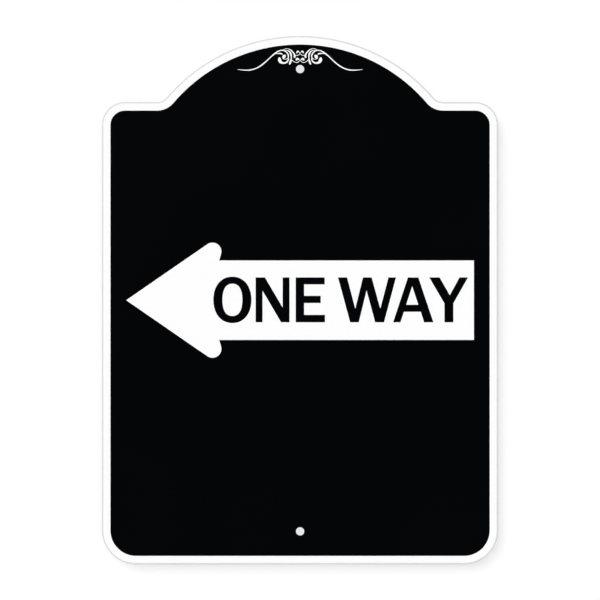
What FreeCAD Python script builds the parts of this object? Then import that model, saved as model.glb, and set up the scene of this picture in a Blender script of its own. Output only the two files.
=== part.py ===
import FreeCAD, Part

import math
import os

import Sketcher

# One-way road sign with an arched top: a flat aluminium sheet faced with cut films.
# Frame: +Z up, +X to the right of a person who reads the sign, and the front looks along -Y.
# The origin lies on the back face, midway between the two mounting holes.
# The films lie one on another in front of the sheet: white, then black, then arrow, then letters.

doc = FreeCAD.newDocument("one_way_sign")

# Driving dimensions in millimetres
SIZES = {
    "sign_width": 457.2,
    "sign_height": 609.6,
    "sheet_thickness": 2.032,
    "edge_round": 0.3,
    "arch_radius": 202.0,
    "arch_rise": 76.2,
    "neck_radius": 15.0,
    "shoulder_corner": 26.6,
    "bottom_corner": 39.3,
    "hole_diameter": 9.525,
    "hole_edge_distance": 38.1,
    "white_film": 0.15,
    "black_film": 0.08,
    "graphic_film": 0.08,
    "film_edge_gap": 1.7,
    "border_width": 9.85,
    "arrow_side_gap": 18.2,
    "arrow_shaft": 91.7,
    "arrow_neck": 107.2,
    "barb_setback": 99.5,
    "barb_height": 56.1,
    "barb_radius": 10.3,
    "cap_height": 51.7,
    "legend_lead": 100.5,
    "legend_end_gap": 6.9,
    "legend_rise": 0.4,
    "ornament_width": 143.9,
}

sheet = doc.addObject("Spreadsheet::Sheet", "sizes")
for row, (alias, number) in enumerate(SIZES.items(), start=1):
    sheet.set(f"A{row}", alias)
    sheet.set(f"B{row}", str(number))
    sheet.setAlias(f"B{row}", alias)
doc.recompute()


def size(alias):
    return float(sheet.get(alias))


# Places that follow from the driving dimensions
LAYOUT = {
    "half_width": "sizes.sign_width / 2",
    "half_height": "sizes.sign_height / 2",
    "shoulder_height": "sizes.sign_height / 2 - sizes.arch_rise",
    "arch_centre": "sizes.sign_height / 2 - sizes.arch_radius",
    "hole_offset": "sizes.sign_height / 2 - sizes.hole_edge_distance",
    "white_film_back": "-sizes.sheet_thickness",
    "black_film_back": "-sizes.sheet_thickness - sizes.white_film",
    "graphic_back": "-sizes.sheet_thickness - sizes.white_film - sizes.black_film",
    "letter_back": "-sizes.sheet_thickness - sizes.white_film - sizes.black_film - sizes.graphic_film",
    "arrow_half_length": "sizes.sign_width / 2 - sizes.border_width - sizes.arrow_side_gap",
}

layout = doc.addObject("App::VarSet", "layout")
for name, formula in LAYOUT.items():
    layout.addProperty("App::PropertyFloat", name, "Layout")
    layout.setExpression(name, formula)
doc.recompute()


def place(name):
    return float(getattr(layout, name))


def start_sketch(body, name):
    """A sketch on the body's own upright plane, drawn as the sign is seen from the front."""
    sketch = body.newObject("Sketcher::SketchObject", name)
    upright = next(plane for plane in body.Origin.OriginFeatures if plane.Role == "XZ_Plane")
    sketch.AttachmentSupport = (upright, [""])
    sketch.MapMode = "FlatFace"
    return sketch


# How a sketch numbers an element's points and its own axes
START, END, CENTRE = range(1, 4)
X_AXIS, Z_AXIS = range(-1, -3, -1)
ORIGIN = (X_AXIS, START)
TOWARDS_READER = FreeCAD.Vector(0, -1, 0)


def bind(sketch, constraint, formula):
    index = sketch.addConstraint(constraint)
    sketch.setExpression(f"Constraints[{index}]", formula)


def bind_across(sketch, element, point, distance, formula):
    across = Sketcher.Constraint("DistanceX", *ORIGIN, element, point, distance)
    bind(sketch, across, formula)


def bind_up(sketch, element, point, distance, formula):
    upwards = Sketcher.Constraint("DistanceY", *ORIGIN, element, point, distance)
    bind(sketch, upwards, formula)


def add_line(sketch, start, end):
    return sketch.addGeometry(Part.LineSegment(FreeCAD.Vector(*start), FreeCAD.Vector(*end)))


def add_arc(sketch, centre, radius, first_angle, last_angle):
    circle = Part.Circle(FreeCAD.Vector(*centre), FreeCAD.Vector(0, 0, 1), radius)
    return sketch.addGeometry(Part.ArcOfCircle(circle, first_angle, last_angle))


def join_smoothly(sketch, chain):
    """Join each edge of a closed chain to the next. A link is an edge, its first and its last point."""
    for (edge, _, last), (following, first, _) in zip(chain, chain[1:] + chain[:1]):
        sketch.addConstraint(Sketcher.Constraint("Tangent", edge, last, following, first))


def outline_places(inset):
    """Where the arched outline runs when it is drawn one inset inside the edge of the sheet."""
    at = {
        "side": place("half_width") - inset,
        "foot": -place("half_height") + inset,
        "shoulder": place("shoulder_height") - inset,
        "corner": size("shoulder_corner") - inset,
        "low_corner": size("bottom_corner") - inset,
        "neck": size("neck_radius") + inset,
        "arch": size("arch_radius") - inset,
        "arch_centre": place("arch_centre"),
    }
    at["neck_level"] = at["shoulder"] + at["neck"]
    rise = at["neck_level"] - at["arch_centre"]
    at["neck_across"] = math.sqrt((at["arch"] + at["neck"]) ** 2 - rise ** 2)
    at["lean"] = math.atan2(rise, at["neck_across"])
    return at


def draw_outline_edges(sketch, at):
    """The outline's lines and arcs by name, drawn anticlockwise from the bottom edge."""
    side, foot, shoulder = at["side"], at["foot"], at["shoulder"]
    corner, low_corner, neck, lean = at["corner"], at["low_corner"], at["neck"], at["lean"]
    neck_across, neck_level = at["neck_across"], at["neck_level"]
    turn = math.pi / 2
    return {
        "bottom": add_line(sketch, (-side + low_corner, foot), (side - low_corner, foot)),
        "low_right": add_arc(sketch, (side - low_corner, foot + low_corner), low_corner, -turn, 0),
        "right": add_line(sketch, (side, foot + low_corner), (side, shoulder - corner)),
        "high_right": add_arc(sketch, (side - corner, shoulder - corner), corner, 0, turn),
        "right_shoulder": add_line(sketch, (side - corner, shoulder), (neck_across, shoulder)),
        "right_neck": add_arc(sketch, (neck_across, neck_level), neck, math.pi + lean, 3 * turn),
        "crown": add_arc(sketch, (0, at["arch_centre"]), at["arch"], lean, math.pi - lean),
        "left_neck": add_arc(sketch, (-neck_across, neck_level), neck, -turn, -lean),
        "left_shoulder": add_line(sketch, (-neck_across, shoulder), (-side + corner, shoulder)),
        "high_left": add_arc(sketch, (-side + corner, shoulder - corner), corner, turn, math.pi),
        "left": add_line(sketch, (-side, shoulder - corner), (-side, foot + low_corner)),
        "low_left": add_arc(sketch, (-side + low_corner, foot + low_corner), low_corner,
                            math.pi, 3 * turn),
    }


def hold_outline(sketch, edges, at, inset):
    """Tie the drawn outline to the driving dimensions: inset is the formula of its inset."""
    for name in ("bottom", "right_shoulder", "left_shoulder"):
        sketch.addConstraint(Sketcher.Constraint("Horizontal", edges[name]))
    for name in ("right", "left"):
        sketch.addConstraint(Sketcher.Constraint("Vertical", edges[name]))
    radii = {
        "low_right": (at["low_corner"], f"sizes.bottom_corner - {inset}"),
        "low_left": (at["low_corner"], f"sizes.bottom_corner - {inset}"),
        "high_right": (at["corner"], f"sizes.shoulder_corner - {inset}"),
        "high_left": (at["corner"], f"sizes.shoulder_corner - {inset}"),
        "right_neck": (at["neck"], f"sizes.neck_radius + {inset}"),
        "left_neck": (at["neck"], f"sizes.neck_radius + {inset}"),
        "crown": (at["arch"], f"sizes.arch_radius - {inset}"),
    }
    for name, (radius, formula) in radii.items():
        bind(sketch, Sketcher.Constraint("Radius", edges[name], radius), formula)
    sketch.addConstraint(Sketcher.Constraint("PointOnObject", edges["crown"], CENTRE, Z_AXIS))
    bind_up(sketch, edges["crown"], CENTRE, at["arch_centre"], "layout.arch_centre")
    bind_up(sketch, edges["bottom"], START, at["foot"], f"-layout.half_height + {inset}")
    for name, point in (("right_shoulder", END), ("left_shoulder", START)):
        bind_up(sketch, edges[name], point, at["shoulder"], f"layout.shoulder_height - {inset}")
    bind_across(sketch, edges["right"], START, at["side"], f"layout.half_width - {inset}")
    bind_across(sketch, edges["left"], START, -at["side"], f"-layout.half_width + {inset}")


def draw_outline(sketch, inset, inset_formula):
    """The arched outline, drawn everywhere one inset inside the edge of the sheet."""
    at = outline_places(inset)
    edges = draw_outline_edges(sketch, at)
    clockwise = ("right_neck", "left_neck")
    chain = [(edge, END, START) if name in clockwise else (edge, START, END)
             for name, edge in edges.items()]
    join_smoothly(sketch, chain)
    hold_outline(sketch, edges, at, inset_formula)


def pad_forward(body, sketch, thickness_name):
    """Give the sketch its thickness, from its own plane towards the reader."""
    pad = body.newObject("PartDesign::Pad", f"{body.Label}_pad")
    pad.Profile = sketch
    pad.setExpression("Length", f"sizes.{thickness_name}")
    sketch.Visibility = False
    doc.recompute()
    return pad


def drill_holes(body):
    """Both mounting holes, drilled through this layer on the sign's centreline."""
    sketch = start_sketch(body, f"{body.Label}_holes")
    radius = size("hole_diameter") / 2
    for level, formula in ((place("hole_offset"), "layout.hole_offset"),
                           (-place("hole_offset"), "-layout.hole_offset")):
        circle = Part.Circle(FreeCAD.Vector(0, level, 0), FreeCAD.Vector(0, 0, 1), radius)
        hole = sketch.addGeometry(circle)
        sketch.addConstraint(Sketcher.Constraint("PointOnObject", hole, CENTRE, Z_AXIS))
        bind_up(sketch, hole, CENTRE, level, formula)
        bind(sketch, Sketcher.Constraint("Diameter", hole, 2 * radius), "sizes.hole_diameter")
    before = body.Shape.Volume
    pocket = body.newObject("PartDesign::Pocket", f"{body.Label}_drilling")
    pocket.Profile = sketch
    pocket.Type = "ThroughAll"
    pocket.Midplane = True
    sketch.Visibility = False
    doc.recompute()
    if not body.Shape.Volume < before:
        raise ValueError(f"the holes in {body.Label} remove nothing")


def new_body(label, back_name=None):
    """A layer of the sign: its back lies at the named distance in front of the sheet's back."""
    body = doc.addObject("PartDesign::Body", label)
    body.Label = label
    if back_name:
        body.setExpression("Placement.Base.y", f"layout.{back_name}")
    doc.recompute()
    return body


# Aluminium sheet, blanked to the arched outline, with its rims rounded by deburring
aluminium_sheet = new_body("aluminium_sheet")
sheet_outline = start_sketch(aluminium_sheet, "sheet_outline")
draw_outline(sheet_outline, 0.0, "0")
sheet_pad = pad_forward(aluminium_sheet, sheet_outline, "sheet_thickness")


def rim_edges(shape, thickness):
    """Names of the edges that lie wholly in the front or the back face."""
    tolerance = 1e-6
    names = []
    for number, edge in enumerate(shape.Edges, start=1):
        depths = [vertex.Point.y for vertex in edge.Vertexes]
        in_back = all(abs(depth) < tolerance for depth in depths)
        in_front = all(abs(depth + thickness) < tolerance for depth in depths)
        if in_back or in_front:
            names.append(f"Edge{number}")
    return names


rim_round = aluminium_sheet.newObject("PartDesign::Fillet", "rim_round")
rim_round.Base = (sheet_pad, rim_edges(sheet_pad.Shape, size("sheet_thickness")))
rim_round.setExpression("Radius", "sizes.edge_round")
doc.recompute()
drill_holes(aluminium_sheet)

# White film over the whole front, cut a little inside the metal's edge
white_film = new_body("white_film", "white_film_back")
white_outline = start_sketch(white_film, "white_outline")
draw_outline(white_outline, size("film_edge_gap"), "sizes.film_edge_gap")
pad_forward(white_film, white_outline, "white_film")
drill_holes(white_film)

# Black field, which leaves the white film showing as an even border
black_field = new_body("black_field", "black_film_back")
black_outline = start_sketch(black_field, "black_outline")
draw_outline(black_outline, size("border_width"), "sizes.border_width")
pad_forward(black_field, black_outline, "black_film")
drill_holes(black_field)


def arrow_places():
    """Where the arrow's corners lie, and the angles at which its head touches the barb's circle."""
    tip = -place("arrow_half_length")
    at = {
        "tip": tip,
        "tail": place("arrow_half_length"),
        "half_shaft": size("arrow_shaft") / 2,
        "neck": tip + size("arrow_neck"),
        "barb": size("barb_radius"),
        "barb_across": tip + size("barb_setback"),
        "barb_level": size("barb_height"),
    }
    for name, across, level, way in (("front_touch", tip, 0, -1),
                                     ("back_touch", at["neck"], at["half_shaft"], 1)):
        rise = level - at["barb_level"]
        run = across - at["barb_across"]
        at[name] = math.atan2(rise, run) + way * math.acos(at["barb"] / math.hypot(run, rise))
    return at


def draw_arrow_half(sketch, at, side):
    """One half of the arrow: side is 1 above the centreline and -1 below it."""
    middle = (at["barb_across"], side * at["barb_level"])

    def on_barb(angle):
        return (middle[0] + at["barb"] * math.cos(angle), middle[1] + side * at["barb"] * math.sin(angle))

    shaft_level = side * at["half_shaft"]
    sweep = sorted([side * at["back_touch"], side * (at["front_touch"] + 2 * math.pi)])
    slant = add_line(sketch, (at["tip"], 0), on_barb(at["front_touch"]))
    barb = add_arc(sketch, middle, at["barb"], *sweep)
    back = add_line(sketch, on_barb(at["back_touch"]), (at["neck"], shaft_level))
    shaft = add_line(sketch, (at["neck"], shaft_level), (at["tail"], shaft_level))
    from_slant, to_back = (END, START) if side > 0 else (START, END)
    sketch.addConstraint(Sketcher.Constraint("Tangent", slant, END, barb, from_slant))
    sketch.addConstraint(Sketcher.Constraint("Tangent", barb, to_back, back, START))
    sketch.addConstraint(Sketcher.Constraint("Coincident", back, END, shaft, START))
    sketch.addConstraint(Sketcher.Constraint("Horizontal", shaft))
    sign = "" if side > 0 else "-"
    bind(sketch, Sketcher.Constraint("Radius", barb, at["barb"]), "sizes.barb_radius")
    bind_across(sketch, barb, CENTRE, middle[0], "sizes.barb_setback - layout.arrow_half_length")
    bind_up(sketch, barb, CENTRE, middle[1], f"{sign}sizes.barb_height")
    bind_across(sketch, shaft, START, at["neck"], "sizes.arrow_neck - layout.arrow_half_length")
    bind_up(sketch, shaft, START, shaft_level, f"{sign}sizes.arrow_shaft / 2")
    return slant, shaft


def draw_arrow(sketch):
    """A square shaft and a pointed head whose two barbs are rounded off."""
    at = arrow_places()
    top_slant, top_shaft = draw_arrow_half(sketch, at, 1)
    low_slant, low_shaft = draw_arrow_half(sketch, at, -1)
    shaft_end = add_line(sketch, (at["tail"], at["half_shaft"]), (at["tail"], -at["half_shaft"]))
    for corner in ((top_shaft, END, shaft_end, START), (shaft_end, END, low_shaft, END),
                   (low_slant, START, top_slant, START)):
        sketch.addConstraint(Sketcher.Constraint("Coincident", *corner))
    sketch.addConstraint(Sketcher.Constraint("Vertical", shaft_end))
    sketch.addConstraint(Sketcher.Constraint("PointOnObject", top_slant, START, X_AXIS))
    bind_across(sketch, top_slant, START, at["tip"], "-layout.arrow_half_length")
    bind_across(sketch, shaft_end, START, at["tail"], "layout.arrow_half_length")


# White arrow across the black field, pointing to the reader's left
arrow = new_body("arrow", "graphic_back")
arrow_outline = start_sketch(arrow, "arrow_outline")
draw_arrow(arrow_outline)
pad_forward(arrow, arrow_outline, "graphic_film")

# Plain block letters, drawn on a grid with a capital's height as 100 squares.
# Each letter has its outlines, its width and the space that follows it.
# An outline is the list of its corners, but the O is two ovals, each given by its half width,
# its half height and its fullness. It stands a little past the other letters, to look as tall.
LETTERS = {
    "letter_o": ([(43, 51.7, 0.6), (22.5, 36, 0.655)], 86, 9.5),
    "letter_n": ([
        [(0, 0), (0, 100), (21, 100), (61, 33), (61, 100),
         (76.5, 100), (76.5, 0), (57.5, 0), (15.5, 70.5), (15.5, 0)],
    ], 76.5, 14),
    "letter_e": ([
        [(0, 0), (0, 100), (65.5, 100), (65.5, 84.5), (19, 84.5), (19, 59),
         (56.5, 59), (56.5, 43), (19, 43), (19, 16.5), (66, 16.5), (66, 0)],
    ], 66, 29.5),
    "letter_w": ([
        [(0, 100), (20.5, 100), (39, 30), (56.5, 100), (76, 100), (95.5, 30.5), (114, 100),
         (131, 100), (104, 0), (84, 0), (64.5, 71), (47, 0), (27.5, 0)],
    ], 131, -6.5),
    "letter_a": ([
        [(0, 0), (33.5, 100), (57, 100), (91, 0), (70, 0), (62.5, 23.5), (24.5, 23.5), (16.5, 0)],
        [(43, 80.5), (57, 39), (29.5, 39)],
    ], 91, -9.5),
    "letter_y": ([
        [(0, 100), (23.5, 100), (46.5, 60.5), (68.5, 100), (87.5, 100),
         (54.5, 42), (54.5, 0), (34.5, 0), (34.5, 42)],
    ], 87.5, 0),
}
legend_squares = sum(width + space for _, width, space in LETTERS.values())
capital_squares = max(row for _, row in LETTERS["letter_n"][0][0])

layout.addProperty("App::PropertyFloat", "square_across", "Layout")
layout.setExpression(
    "square_across",
    f"(2 * layout.arrow_half_length - sizes.legend_lead - sizes.legend_end_gap) / {legend_squares}",
)
layout.addProperty("App::PropertyFloat", "square_up", "Layout")
layout.setExpression("square_up", f"sizes.cap_height / {capital_squares}")
doc.recompute()


def draw_polygon(sketch, squares):
    """A closed outline of straight edges, each corner held at its squares of the letter grid."""
    across, up = place("square_across"), place("square_up")
    corners = [(column * across, row * up) for column, row in squares]
    edges = [add_line(sketch, corners[i - 1], corner) for i, corner in enumerate(corners)]
    for i, (column, row) in enumerate(squares):
        following = edges[(i + 1) % len(edges)]
        sketch.addConstraint(Sketcher.Constraint("Coincident", edges[i], END, following, START))
        if column:
            bind_across(sketch, edges[i], END, corners[i][0], f"{column} * layout.square_across")
        else:
            sketch.addConstraint(Sketcher.Constraint("PointOnObject", edges[i], END, Z_AXIS))
        if row:
            bind_up(sketch, edges[i], END, corners[i][1], f"{row} * layout.square_up")
        else:
            sketch.addConstraint(Sketcher.Constraint("PointOnObject", edges[i], END, X_AXIS))


def make_straight_letter(label, outlines, squares_before):
    body = new_body(label, "letter_back")
    body.setExpression(
        "Placement.Base.x",
        f"sizes.legend_lead - layout.arrow_half_length + {squares_before} * layout.square_across",
    )
    body.setExpression("Placement.Base.z", "sizes.legend_rise - sizes.cap_height / 2")
    sketch = start_sketch(body, f"{label}_outline")
    for squares in outlines:
        draw_polygon(sketch, squares)
    pad_forward(body, sketch, "graphic_film")
    return body


def oval_face(half_columns, half_rows, fullness):
    """An upright oval of four equal curves: the fuller it is, the squarer its shoulders."""
    half_across, half_up = half_columns * place("square_across"), half_rows * place("square_up")
    edges = []
    for sign_x, sign_z in ((1, 1), (-1, 1), (-1, -1), (1, -1)):
        side = FreeCAD.Vector(sign_x * half_across, 0, 0)
        crest = FreeCAD.Vector(0, 0, sign_z * half_up)
        poles = [side, side + crest * fullness, crest + side * fullness, crest]
        curve = Part.BezierCurve()
        curve.setPoles(poles if sign_x == sign_z else poles[::-1])
        edges.append(curve.toShape())
    return Part.Face(Part.Wire(edges))


def make_letter_o(label, outlines, squares_before, width):
    outer, inner = [oval_face(*oval) for oval in outlines]
    ring = outer.cut(inner)
    letter = doc.addObject("Part::Feature", label)
    letter.Label = label
    letter.Shape = ring.extrude(TOWARDS_READER * size("graphic_film"))
    squares_to_middle = squares_before + width / 2
    middle = size("legend_lead") - place("arrow_half_length") + squares_to_middle * place("square_across")
    letter.Placement.Base = FreeCAD.Vector(middle, place("letter_back"), size("legend_rise"))
    return letter


letters = []
squares_before = 0
for label, (outlines, width, space) in LETTERS.items():
    if label == "letter_o":
        letters.append(make_letter_o(label, outlines, squares_before, width))
    else:
        letters.append(make_straight_letter(label, outlines, squares_before))
    squares_before += width + space

# Scroll ornament over the upper hole, drawn on a grid of squares as scrollwork patterns are.
# Each stroke is a list of centreline points: squares from the centreline, squares above the
# hole's centre, and the stroke's width there in squares. The right half is drawn and mirrored.
STROKES = {
    "tail_and_curl": [
        (62.5, -0.5, 0.3), (57.1, -1.0, 0.8), (51.1, -1.1, 1.1), (45.1, 0.3, 1.1),
        (39.1, 3.5, 1.2), (33.1, 8.5, 1.1), (28.1, 13.2, 1.1), (24.1, 16.3, 1.4),
        (20.6, 18.3, 1.0), (17.1, 18.7, 1.0), (14.0, 17.2, 1.1), (11.8, 13.9, 1.3),
        (12.3, 10.8, 0.8), (14.8, 9.8, 0.5), (17.1, 10.8, 1.0),
    ],
    "curl_bud": [(16.7, 11.4, 2.0), (16.1, 12.5, 3.4), (15.4, 13.1, 2.4)],
    "sprout": [(24.6, 15.4, 0.4), (21.6, 15.6, 0.9), (19.0, 15.4, 1.2), (17.6, 14.7, 0.6)],
    "lower_curl": [
        (20.7, 10.5, 2.4), (20.3, 8.5, 3.2), (19.0, 6.8, 2.6), (16.4, 6.0, 1.6), (13.9, 6.6, 1.5),
        (12.1, 8.5, 1.3), (11.6, 10.8, 0.7),
    ],
    "inner_plume": [
        (15.0, 18.4, 0.6), (11.8, 18.2, 0.9), (10.0, 16.7, 1.5), (9.1, 14.6, 1.6),
        (8.8, 11.8, 1.1), (9.1, 9.1, 1.4), (9.7, 6.9, 1.9), (10.5, 5.1, 1.4),
    ],
    "outer_plume": [
        (17.0, 19.2, 0.4), (14.1, 20.3, 0.5), (11.8, 20.2, 0.5), (9.8, 19.3, 0.9),
        (8.0, 17.8, 1.1), (6.2, 15.6, 1.3), (5.4, 13.6, 1.6), (5.5, 12.1, 1.9),
    ],
    "upper_bud": [
        (4.8, 14.0, 0.5), (2.9, 13.6, 0.5), (1.4, 14.1, 0.5), (0.2, 15.5, 0.5), (0.9, 16.9, 0.5),
        (2.0, 17.7, 1.4), (3.1, 16.9, 1.2), (3.1, 16.0, 0.6),
    ],
    "tendril": [
        (9.1, 9.5, 0.6), (7.4, 8.3, 0.6), (5.8, 7.1, 0.5), (3.4, 6.5, 0.5), (1.9, 6.9, 0.5),
        (1.1, 7.7, 0.5), (0.1, 8.8, 0.3),
    ],
    "lower_bud": [(0.1, 8.8, 0.3), (1.0, 9.5, 0.6), (2.2, 10.0, 2.2), (3.5, 9.6, 2.1), (3.7, 9.0, 1.2)],
}


def stroke_face(points, square):
    """A brush stroke as a flat face: two curved sides along its centreline, and round ends."""
    centreline = [FreeCAD.Vector(across * square, 0, up * square) for across, up, _ in points]
    spine = Part.BSplineCurve()
    spine.interpolate(centreline)
    left, right, headings = [], [], []
    for centre, (_, _, width) in zip(centreline, points):
        heading = spine.tangent(spine.parameter(centre))[0]
        sideways = FreeCAD.Vector(-heading.z, 0, heading.x) * (width * square / 2)
        left.append(centre + sideways)
        right.append(centre - sideways)
        headings.append(heading * (width * square / 2))
    side_a = Part.BSplineCurve()
    side_a.interpolate(left)
    side_b = Part.BSplineCurve()
    side_b.interpolate(right[::-1])
    far_end = Part.Arc(left[-1], centreline[-1] + headings[-1], right[-1])
    near_end = Part.Arc(right[0], centreline[0] - headings[0], left[0])
    return Part.Face(Part.Wire([side_a.toShape(), far_end.toShape(), side_b.toShape(), near_end.toShape()]))


def make_ornament():
    squares_to_tip = max(across for points in STROKES.values() for across, _, _ in points)
    square = size("ornament_width") / 2 / squares_to_tip
    right_half = [stroke_face(points, square) for points in STROKES.values()]
    left_half = [face.mirror(FreeCAD.Vector(0, 0, 0), FreeCAD.Vector(1, 0, 0)) for face in right_half]
    solids = [face.extrude(TOWARDS_READER * size("graphic_film")) for face in right_half + left_half]
    ornament = doc.addObject("Part::Feature", "scroll_ornament")
    ornament.Label = "scroll_ornament"
    ornament.Shape = solids[0].multiFuse(solids[1:]).removeSplitter()
    ornament.Placement.Base = FreeCAD.Vector(0, place("graphic_back"), place("hole_offset"))
    return ornament


scroll_ornament = make_ornament()
doc.recompute()

pieces = [aluminium_sheet, white_film, black_field, arrow, *letters, scroll_ornament]
for item in doc.Objects:
    if "Invalid" in item.State or "Error" in item.State:
        raise ValueError(f"{item.Label} failed to build")
os.makedirs("parts", exist_ok=True)
for piece in pieces:
    if piece.Shape.isNull() or not piece.Shape.isValid():
        raise ValueError(f"{piece.Label} has no sound shape")
    piece.Shape.exportStep(f"parts/{piece.Label}.step")
    print(piece.Label, len(piece.Shape.Solids), round(piece.Shape.Volume, 3), piece.Shape.BoundBox)
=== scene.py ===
import math

import bmesh
import bpy
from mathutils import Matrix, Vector


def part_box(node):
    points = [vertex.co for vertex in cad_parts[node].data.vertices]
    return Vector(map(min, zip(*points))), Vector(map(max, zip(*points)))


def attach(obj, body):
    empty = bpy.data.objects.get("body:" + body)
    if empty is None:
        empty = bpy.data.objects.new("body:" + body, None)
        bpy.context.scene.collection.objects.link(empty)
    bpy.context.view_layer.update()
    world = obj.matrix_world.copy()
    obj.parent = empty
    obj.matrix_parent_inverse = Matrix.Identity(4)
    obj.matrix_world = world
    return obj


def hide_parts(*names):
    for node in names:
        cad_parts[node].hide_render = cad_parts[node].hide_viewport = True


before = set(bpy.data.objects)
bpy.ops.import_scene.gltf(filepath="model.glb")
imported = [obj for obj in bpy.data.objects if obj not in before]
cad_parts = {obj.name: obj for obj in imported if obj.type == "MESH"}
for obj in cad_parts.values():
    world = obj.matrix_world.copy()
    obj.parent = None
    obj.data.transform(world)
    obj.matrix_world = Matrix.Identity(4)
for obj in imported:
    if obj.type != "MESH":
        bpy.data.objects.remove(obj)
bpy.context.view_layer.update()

# Aluminium sheet: the sign's blank, punched from rolled sheet to an arched outline.
# Its rims are rounded by deburring, and two mounting holes are punched on the centreline. The front
# is matt, and shows as a fine line outside the white film, while the back keeps its mill finish.
# The rounded rims and cut edges are deburred metal, given a darker tone than the front: painted
# shade that dims the key's glare there.
sheet_low, sheet_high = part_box("aluminium_sheet")
HALF_WIDTH = sheet_high.x
TOP = sheet_high.z
ARCH_RADIUS = 0.202
ARCH_RISE = 0.0762
NECK_RADIUS = 0.015
SHOULDER_CORNER = 0.0266
BOTTOM_CORNER = 0.0393
EDGE_ROUND = 0.0003
EDGE_STEPS = 6
HOLE_RADIUS = 0.0047625
HOLE_EDGE_DISTANCE = 0.0381
HOLE_SIDES = 128
HOLE_BURR = 0.00015
BURR_STEPS = 2
PUNCH_LENGTH = HOLE_RADIUS * 4
QUARTER = math.pi / 2
CURVE_SAG = 0.00001
SAME_PLACE = 0.000001
AT_RIM = SAME_PLACE * 10
FLAT_ENOUGH = 0.999
SMOOTH_UNDER = math.radians(35)
PEN_PLANE = 0.01


def pen():
    """The point that the outline has reached: the one selected vertex."""
    outline = bmesh.from_edit_mesh(bpy.context.object.data)
    return next(vertex.co.copy() for vertex in outline.verts if vertex.select)


def line_to(x, z):
    """Draw the outline straight on to a point."""
    here = pen()
    step = (x - here.x, 0, z - here.z)
    bpy.ops.mesh.extrude_region_move(TRANSFORM_OT_translate={"value": step})


def arc_about(x, z, radius, angle):
    """Swing the pen about a centre. A positive angle is anticlockwise, as seen from the front."""
    depth = pen().y
    step = 2 * math.acos(1 - CURVE_SAG / radius)
    steps = math.ceil(abs(angle) / step)
    bpy.ops.mesh.spin(steps=steps, angle=angle, center=(x, depth, z), axis=(0, 1, 0))


def draw_half_outline(inset):
    """The right half of the arched outline, from the middle of the foot up to the crown."""
    side = HALF_WIDTH - inset
    foot = -TOP + inset
    shoulder = TOP - ARCH_RISE - inset
    corner = SHOULDER_CORNER - inset
    low_corner = BOTTOM_CORNER - inset
    neck = NECK_RADIUS + inset
    arch = ARCH_RADIUS - inset
    arch_centre = TOP - ARCH_RADIUS
    neck_level = shoulder + neck
    neck_rise = neck_level - arch_centre
    neck_across = math.sqrt((arch + neck) ** 2 - neck_rise ** 2)
    lean = math.atan2(neck_rise, neck_across)
    line_to(side - low_corner, foot)
    arc_about(side - low_corner, foot + low_corner, low_corner, QUARTER)
    line_to(side, shoulder - corner)
    arc_about(side - corner, shoulder - corner, corner, QUARTER)
    line_to(neck_across, shoulder)
    arc_about(neck_across, neck_level, neck, lean - QUARTER)
    arc_about(0, arch_centre, arch, QUARTER - lean)


def select_edges(wanted):
    """Select just the edges of the mesh in edit mode that wanted() says yes to."""
    bpy.ops.mesh.select_mode(type="EDGE")
    bpy.ops.mesh.select_all(action="DESELECT")
    mesh = bmesh.from_edit_mesh(bpy.context.object.data)
    for edge in mesh.edges:
        edge.select_set(wanted(edge))
    mesh.select_flush_mode()
    bmesh.update_edit_mesh(bpy.context.object.data)


def apply_modifier(piece, kind, **settings):
    """Put a modifier of this kind on the piece, with its settings, and apply it."""
    modifier = piece.modifiers.new(kind.lower(), kind)
    for name, setting in settings.items():
        setattr(modifier, name, setting)
    bpy.ops.object.select_all(action="DESELECT")
    piece.select_set(True)
    bpy.context.view_layer.objects.active = piece
    bpy.ops.object.modifier_apply(modifier=modifier.name)


def arched_plate(name, inset, back, front):
    """A flat plate of the arched outline, drawn point by point, mirrored, filled and thickened."""
    bpy.ops.object.select_all(action="DESELECT")
    bpy.ops.mesh.primitive_plane_add(size=PEN_PLANE, enter_editmode=True)
    plate = bpy.context.object
    plate.name = name
    plate.data.name = name
    bpy.ops.mesh.select_mode(type="VERT")
    bpy.ops.mesh.select_all(action="SELECT")
    bpy.ops.mesh.merge(type="CENTER")
    bpy.ops.transform.translate(value=(0, back, -TOP + inset))
    draw_half_outline(inset)
    bpy.ops.object.mode_set(mode="OBJECT")
    apply_modifier(plate, "MIRROR", use_axis=(True, False, False), merge_threshold=SAME_PLACE)
    bpy.ops.object.mode_set(mode="EDIT")
    bpy.ops.mesh.select_all(action="SELECT")
    bpy.ops.mesh.remove_doubles(threshold=SAME_PLACE)
    bpy.ops.mesh.edge_face_add()
    bpy.ops.mesh.extrude_region_move(TRANSFORM_OT_translate={"value": (0, front - back, 0)})
    bpy.ops.mesh.select_all(action="SELECT")
    bpy.ops.mesh.normals_make_consistent(inside=False)
    bpy.ops.object.mode_set(mode="OBJECT")
    return plate


def round_rims(plate, radius):
    """Round the plate's outline at its front and back, before any hole is made."""
    bpy.context.view_layer.objects.active = plate
    bpy.ops.object.mode_set(mode="EDIT")
    select_edges(lambda edge: abs(edge.verts[0].co.y - edge.verts[1].co.y) < SAME_PLACE)
    bpy.ops.mesh.bevel(offset=radius, segments=EDGE_STEPS, affect="EDGES", clamp_overlap=False)
    bpy.ops.object.mode_set(mode="OBJECT")


def punch_holes(plate):
    """Both mounting holes, punched through the plate on the sign's centreline."""
    for level in (TOP - HOLE_EDGE_DISTANCE, HOLE_EDGE_DISTANCE - TOP):
        bpy.ops.object.select_all(action="DESELECT")
        bpy.ops.mesh.primitive_cylinder_add(
            vertices=HOLE_SIDES, radius=HOLE_RADIUS, depth=PUNCH_LENGTH,
            location=(0, 0, level), rotation=(QUARTER, 0, 0),
        )
        punch = bpy.context.object
        apply_modifier(plate, "BOOLEAN", object=punch, operation="DIFFERENCE", solver="EXACT")
        bpy.data.objects.remove(punch)


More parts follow.
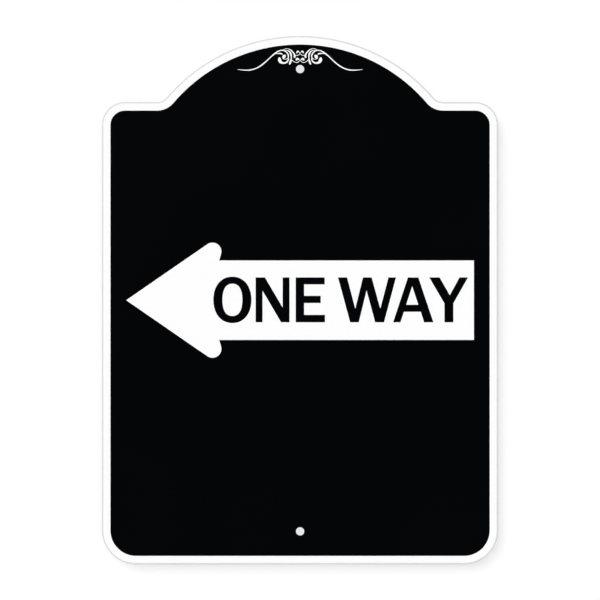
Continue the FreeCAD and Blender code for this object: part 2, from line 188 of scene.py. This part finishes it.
def ease_back_holes(plate):
    """Take the burr off both holes at the back, where nothing covers them."""
    def at_back_rim(edge):
        return all(abs(vertex.co.y) < SAME_PLACE
                   and abs(math.hypot(vertex.co.x, abs(vertex.co.z) - TOP + HOLE_EDGE_DISTANCE)
                           - HOLE_RADIUS) < AT_RIM for vertex in edge.verts)

    bpy.context.view_layer.objects.active = plate
    bpy.ops.object.mode_set(mode="EDIT")
    select_edges(at_back_rim)
    bpy.ops.mesh.bevel(offset=HOLE_BURR, segments=BURR_STEPS, affect="EDGES", clamp_overlap=False)
    bpy.ops.object.mode_set(mode="OBJECT")


def smooth_curves(plate):
    """Shade the rounded rims smoothly and keep the flat faces truly flat."""
    bpy.ops.object.select_all(action="DESELECT")
    plate.select_set(True)
    bpy.context.view_layer.objects.active = plate
    bpy.ops.object.shade_smooth_by_angle(angle=SMOOTH_UNDER)
    apply_modifier(plate, "WEIGHTED_NORMAL", keep_sharp=True)


class Value:
    """One output in a node tree. Arithmetic on it adds the Math nodes that work it out."""

    def __init__(self, mix, socket):
        self.mix = mix
        self.socket = socket

    def worked(self, operation, first, second):
        return self.mix.add("Math", {"operation": operation}, {0: first, 1: second})

    def __add__(self, other):
        return self.worked("ADD", self, other)

    def __sub__(self, other):
        return self.worked("SUBTRACT", self, other)

    def __rsub__(self, other):
        return self.worked("SUBTRACT", other, self)

    def __mul__(self, other):
        return self.worked("MULTIPLY", self, other)

    def __gt__(self, other):
        return self.worked("GREATER_THAN", self, other)

    __radd__ = __add__
    __rmul__ = __mul__


class Mix:
    """The node tree of one material or of the world."""

    def __init__(self, owner):
        owner.use_nodes = True
        self.tree = owner.node_tree

    def join(self, source, socket):
        """Give a socket its link or its plain value."""
        if isinstance(source, Value):
            self.tree.links.new(source.socket, socket)
        else:
            socket.default_value = source

    def add(self, kind, settings=None, inputs=None, output=0):
        """Add one node: its settings first, then its inputs. The answer is one of its outputs."""
        node = self.tree.nodes.new("ShaderNode" + kind)
        for name, setting in (settings or {}).items():
            setattr(node, name, setting)
        for name, source in (inputs or {}).items():
            self.join(source, node.inputs[name])
        return Value(self, node.outputs[output])

    def finish(self, last_node, **values):
        """Set the sockets of the tree's last node, named with _ for each space."""
        for name, source in values.items():
            self.join(source, self.tree.nodes[last_node].inputs[name.replace("_", " ")])


def new_material(name):
    return Mix(bpy.data.materials.new(name))


def grain(mix, density, detail=2.0):
    """Noise over the piece, even about 0.5. Density is in specks a metre along X, Y and Z."""
    place = mix.add("TexCoord", output="Object")
    stretched = mix.add("Mapping", inputs={"Vector": place, "Scale": density})
    return mix.add("TexNoise", inputs={
        "Vector": stretched, "Scale": 1.0, "Detail": detail, "Roughness": 0.5,
    })


MILL_SHADE = 0.68
MILL_RED, MILL_GREEN, MILL_BLUE = 0.985, 0.995, 1.01
MILL_ROUGHNESS = 0.42
MILL_BUMP = 0.35
MILL_DEPTH = 0.00003
ROLLED_LINES = (2600, 2600, 22)
ROLLED_THREADS = (520, 520, 6)
ROLLED_STREAKS = (140, 140, 2.2)
ROLLED_CLOUDS = (9, 9, 5)


def mill_finish(name):
    """Rolled aluminium: bright grey, with the fine lines and streaks that the rolls leave."""
    metal = new_material(name)
    lines = grain(metal, ROLLED_LINES, detail=3.0)
    threads = grain(metal, ROLLED_THREADS)
    streaks = grain(metal, ROLLED_STREAKS)
    clouds = grain(metal, ROLLED_CLOUDS)
    tone = (MILL_SHADE + 0.08 * (threads - 0.5) + 0.04 * (streaks - 0.5)
            + 0.05 * (clouds - 0.5) + 0.06 * (lines - 0.5))
    colour = metal.add("CombineColor", inputs={
        0: tone * MILL_RED, 1: tone * MILL_GREEN, 2: tone * MILL_BLUE,
    })
    height = lines + 0.8 * threads + 0.2 * streaks
    bump = metal.add("Bump", inputs={
        "Strength": MILL_BUMP, "Distance": MILL_DEPTH, "Height": height,
    })
    metal.finish(
        "Principled BSDF", Base_Color=colour, Metallic=1.0, Normal=bump,
        Roughness=MILL_ROUGHNESS + 0.2 * (lines - 0.5) + 0.14 * (threads - 0.5),
    )
    return bpy.data.materials[name]


SATIN_GRAIN = (3000, 3000, 3000)
SATIN_WEAR = (60, 60, 60)
SATIN_BUMP = 0.15
SATIN_DEPTH = 0.00002
FRONT_SHADE = 0.77
FRONT_ROUGHNESS = 0.8
# The rims' tone, darker than the front's: painted shade that keeps the key's glare off the rounded
# edges.
EDGE_PAINTED_SHADE = 0.52
EDGE_ROUGHNESS = 0.75


def satin_finish(name, shade, roughness):
    """Aluminium rubbed by a belt or etched to take the film: matt, even and as pale as shade."""
    metal = new_material(name)
    satin = grain(metal, SATIN_GRAIN)
    wear = grain(metal, SATIN_WEAR, detail=3.0)
    tone = shade + 0.05 * (satin - 0.5) + 0.08 * (wear - 0.5)
    colour = metal.add("CombineColor", inputs={0: tone, 1: tone, 2: tone})
    bump = metal.add("Bump", inputs={
        "Strength": SATIN_BUMP, "Distance": SATIN_DEPTH, "Height": satin,
    })
    metal.finish(
        "Principled BSDF", Base_Color=colour, Metallic=1.0, Normal=bump,
        Roughness=roughness + 0.1 * (wear - 0.5),
    )
    return bpy.data.materials[name]


def finish_faces(plate, material, wanted):
    """Give the plate's faces that wanted() says yes to a material of their own."""
    plate.data.materials.append(material)
    bpy.context.view_layer.objects.active = plate
    bpy.ops.object.mode_set(mode="EDIT")
    bpy.ops.mesh.select_mode(type="FACE")
    bpy.ops.mesh.select_all(action="DESELECT")
    mesh = bmesh.from_edit_mesh(plate.data)
    for face in mesh.faces:
        face.select_set(wanted(face))
    bmesh.update_edit_mesh(plate.data)
    plate.active_material_index = len(plate.data.materials) - 1
    bpy.ops.object.material_slot_assign()
    bpy.ops.object.mode_set(mode="OBJECT")


aluminium_sheet = arched_plate("punched_sheet", 0, sheet_high.y, sheet_low.y)
round_rims(aluminium_sheet, EDGE_ROUND)
punch_holes(aluminium_sheet)
ease_back_holes(aluminium_sheet)
smooth_curves(aluminium_sheet)
aluminium_sheet.data.materials.append(mill_finish("rolled_aluminium"))
etched_front = satin_finish("etched_aluminium", FRONT_SHADE, FRONT_ROUGHNESS)
finish_faces(aluminium_sheet, etched_front, lambda face: face.normal.y < -FLAT_ENOUGH)
# Rims and cut edges: the same satin aluminium at a darker tone, painted shade over the key's glare
# on the real deburred edge.
rims_with_painted_shade = satin_finish("deburred_aluminium", EDGE_PAINTED_SHADE, EDGE_ROUGHNESS)
finish_faces(aluminium_sheet, rims_with_painted_shade, lambda face: abs(face.normal.y) < FLAT_ENOUGH)
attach(aluminium_sheet, "root")
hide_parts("aluminium_sheet")

# White film: gloss vinyl laid over the whole front, and cut a little inside the metal's edge, so
# that a fine strip of metal shows outside it. It is seen as the border that runs round the sign
# between that metal line and the black field.
film_low, film_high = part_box("white_film")
WHITE_COLOUR = (0.93, 0.93, 0.93)
WHITE_ROUGHNESS = 0.14
WHITE_DRIFT = 0.01
VINYL_IOR = 1.48
VINYL_BUMP = 0.25
VINYL_DEPTH = 0.00002
VINYL_RIPPLE = (420, 420, 420)
VINYL_FINE = (5200, 5200, 5200)
VINYL_DRIFT = (11, 11, 7)


def gloss_vinyl(name, colour, roughness, tone_change):
    """Cast vinyl film: an even colour under a gloss with the faint ripple of a laid film."""
    vinyl = new_material(name)
    ripple = grain(vinyl, VINYL_RIPPLE)
    fine = grain(vinyl, VINYL_FINE, detail=1.0)
    drift = grain(vinyl, VINYL_DRIFT)
    shade = 1 + tone_change * (drift - 0.5)
    red, green, blue = colour
    mixed = vinyl.add("CombineColor", inputs={0: shade * red, 1: shade * green, 2: shade * blue})
    bump = vinyl.add("Bump", inputs={
        "Strength": VINYL_BUMP, "Distance": VINYL_DEPTH, "Height": ripple + 0.15 * fine,
    })
    vinyl.finish(
        "Principled BSDF", Base_Color=mixed, Normal=bump, IOR=VINYL_IOR,
        Roughness=roughness + 0.05 * (drift - 0.5) + 0.04 * (ripple - 0.5),
    )
    return bpy.data.materials[name]


white_vinyl = gloss_vinyl("white_vinyl_film", WHITE_COLOUR, WHITE_ROUGHNESS, WHITE_DRIFT)
white_film = arched_plate("white_face", HALF_WIDTH - film_high.x, film_high.y, film_low.y)
punch_holes(white_film)
smooth_curves(white_film)
white_film.data.materials.append(white_vinyl)
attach(white_film, "root")
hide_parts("white_film")

# Black field: the sign's ground, of gloss black vinyl laid on the white film inside an even
# border. It has the same arched outline, and both mounting holes go through it.
field_low, field_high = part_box("black_field")
BLACK_COLOUR = (0.0009, 0.0012, 0.0018)
BLACK_ROUGHNESS = 0.12
BLACK_DRIFT = 0.1

black_vinyl = gloss_vinyl("black_vinyl_film", BLACK_COLOUR, BLACK_ROUGHNESS, BLACK_DRIFT)
black_field = arched_plate("black_face", HALF_WIDTH - field_high.x, field_high.y, field_low.y)
punch_holes(black_field)
smooth_curves(black_field)
black_field.data.materials.append(black_vinyl)
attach(black_field, "root")
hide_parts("black_field")

# Arrow and scroll ornament: both cut from the same white vinyl and laid on the black field. The
# arrow runs across its middle, and the ornament lies over the upper mounting hole.
for name in ("arrow", "scroll_ornament"):
    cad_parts[name].material_slots[0].material = white_vinyl

# Letters: plain block capitals on the arrow's shaft. Each is a piece of its own, cut from the
# black vinyl and laid on the arrow.
for name in ("letter_o", "letter_n", "letter_e", "letter_w", "letter_a", "letter_y"):
    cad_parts[name].material_slots[0].material = black_vinyl

# Backdrop: a pale paper sweep that hangs close behind the sign and runs forward as the floor.
# It shows white from its front and takes the sign's soft shadow. From behind it is clear, so that
# it neither hides nor darkens the sign's back.
WALL_GAP = 0.0115
FLOOR_DROP = 0.6
SWEEP_RADIUS = 0.06
SWEEP_STEPS = 24
SWEEP_SMOOTH = math.radians(30)
SWEEP_WIDTH = 5.0
WALL_TOP = 2.5
FLOOR_FRONT = -3.0
PAPER_GLOW = 0.59
PAPER_WHITE = 0.4
GLOSS_FROM = 0.05
FADE_START = 0.35
FADE_END = 1.0

bpy.ops.object.select_all(action="DESELECT")
bpy.ops.mesh.primitive_plane_add(size=1, enter_editmode=True)
backdrop = bpy.context.object
backdrop.name = "backdrop"
floor_depth = sheet_high.y + WALL_GAP - FLOOR_FRONT
bpy.ops.transform.resize(value=(SWEEP_WIDTH, floor_depth, 1))
bpy.ops.transform.translate(value=(0, FLOOR_FRONT + floor_depth / 2, -FLOOR_DROP))
select_edges(lambda edge: all(vertex.co.y > 0 for vertex in edge.verts))
bpy.ops.mesh.extrude_region_move(TRANSFORM_OT_translate={"value": (0, 0, WALL_TOP + FLOOR_DROP)})
select_edges(lambda edge: all(vertex.co.y > 0 and vertex.co.z < 0 for vertex in edge.verts))
bpy.ops.mesh.bevel(offset=SWEEP_RADIUS, segments=SWEEP_STEPS, affect="EDGES")
bpy.ops.object.mode_set(mode="OBJECT")
bpy.ops.object.shade_smooth_by_angle(angle=SWEEP_SMOOTH)

paper = new_material("backdrop_paper")
seen_by_camera = paper.add("LightPath", output="Is Camera Ray")
seen_in_gloss = paper.add("LightPath", output="Is Glossy Ray")
seen_through = paper.add("LightPath", output="Is Transmission Ray")
ray_length = paper.add("LightPath", output="Ray Length")
from_behind = paper.add("NewGeometry", output="Backfacing")
nearness = paper.add("SeparateXYZ", inputs={0: paper.add("TexCoord", output="Object")}, output="Y")
fade = paper.add("MapRange", {"interpolation_type": "SMOOTHSTEP"}, {
    "Value": 0 - nearness, "From Min": FADE_START, "From Max": FADE_END,
    "To Min": 1.0, "To Max": 0.0,
})
in_gloss_reach = (ray_length > GLOSS_FROM) * fade
shown = (seen_by_camera + seen_in_gloss * in_gloss_reach + seen_through) * (1 - from_behind)
glow = paper.add("Emission", inputs={"Color": (1, 1, 1, 1), "Strength": PAPER_GLOW})
matt = paper.add("BsdfDiffuse", inputs={"Color": (PAPER_WHITE, PAPER_WHITE, PAPER_WHITE, 1)})
lit = paper.add("AddShader", inputs={0: glow, 1: matt})
clear = paper.add("BsdfTransparent")
paper.finish("Material Output", Surface=paper.add("MixShader", inputs={0: shown, 1: clear, 2: lit}))
backdrop.data.materials.append(bpy.data.materials["backdrop_paper"])

# Light: one large soft key from the upper left, a weaker lamp behind for the sheet's back, and a
# room with a paler wall on the right, which fills the metal rim on that side. The room is dark
# where it faces the sign's front, so that the black film stays black.
KEY_LEFT = math.radians(33)
KEY_UP = math.radians(32)
KEY_SPREAD = math.radians(46)
KEY_STRENGTH = 2.28
BACK_SIDE = math.radians(150)
BACK_UP = math.radians(40)
BACK_SPREAD = math.radians(30)
BACK_STRENGTH = 1.5
LAMP_PLACE = (0, 0, 2)
ROOM_LEFT = 0.5
ROOM_RIGHT = 0.85
ROOM_BLEND = 0.9
DARK_FROM = 0.89
DARK_FULL = 0.97
DARK_LEVEL = 0.01


def add_sun(name, side, up, spread, strength):
    """A distant soft lamp. Side is its bearing left of the sign's front, and up its height."""
    bpy.ops.object.light_add(type="SUN", location=LAMP_PLACE)
    lamp = bpy.context.object
    lamp.name = name
    towards = Vector((-math.sin(side) * math.cos(up), -math.cos(side) * math.cos(up), math.sin(up)))
    lamp.rotation_euler = towards.to_track_quat("Z", "Y").to_euler()
    lamp.data.angle = spread
    lamp.data.energy = strength


add_sun("key", KEY_LEFT, KEY_UP, KEY_SPREAD, KEY_STRENGTH)
add_sun("back", BACK_SIDE, BACK_UP, BACK_SPREAD, BACK_STRENGTH)

world = bpy.data.worlds.new("white_room")
bpy.context.scene.world = world
room = Mix(world)
direction = room.add("TexCoord", output="Generated")
behind = room.add("SeparateXYZ", inputs={0: direction}, output="Y")
across = room.add("SeparateXYZ", inputs={0: direction}, output="X")
side_light = room.add("MapRange", {"interpolation_type": "SMOOTHSTEP"}, {
    "Value": across, "From Min": -ROOM_BLEND, "From Max": ROOM_BLEND,
    "To Min": ROOM_LEFT, "To Max": ROOM_RIGHT,
})
lightness = room.add("MapRange", {"interpolation_type": "SMOOTHSTEP"}, {
    "Value": 0 - behind, "From Min": DARK_FROM, "From Max": DARK_FULL,
    "To Min": 1.0, "To Max": DARK_LEVEL,
})
seen_by_camera = room.add("LightPath", output="Is Camera Ray")
seen_through = room.add("LightPath", output="Is Transmission Ray")
white_seen = seen_by_camera + seen_through
level = white_seen + (1 - white_seen) * (side_light * lightness)
room.finish("Background", Strength=level, Color=(1, 1, 1, 1))

# Camera: level with the sign's middle and square to it, and far enough back for a flat view.
# Its frame spans 600 pixels of the photo at the letters' face, at the scale that the sign's
# height gives.
LENS = 85
SENSOR = 36
PHOTO_PIXELS = 600
METRES_A_PIXEL = 0.0011535
CAMERA_X = -0.00008
CAMERA_Z = 0.00023
letter_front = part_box("letter_o")[0].y
distance = PHOTO_PIXELS * METRES_A_PIXEL * LENS / SENSOR
bpy.ops.object.camera_add(
    location=(CAMERA_X, letter_front - distance, CAMERA_Z), rotation=(QUARTER, 0, 0),
)
camera = bpy.context.object
camera.data.lens = LENS
camera.data.sensor_width = SENSOR
bpy.context.scene.camera = camera
bpy.context.scene.view_settings.view_transform = "Standard"
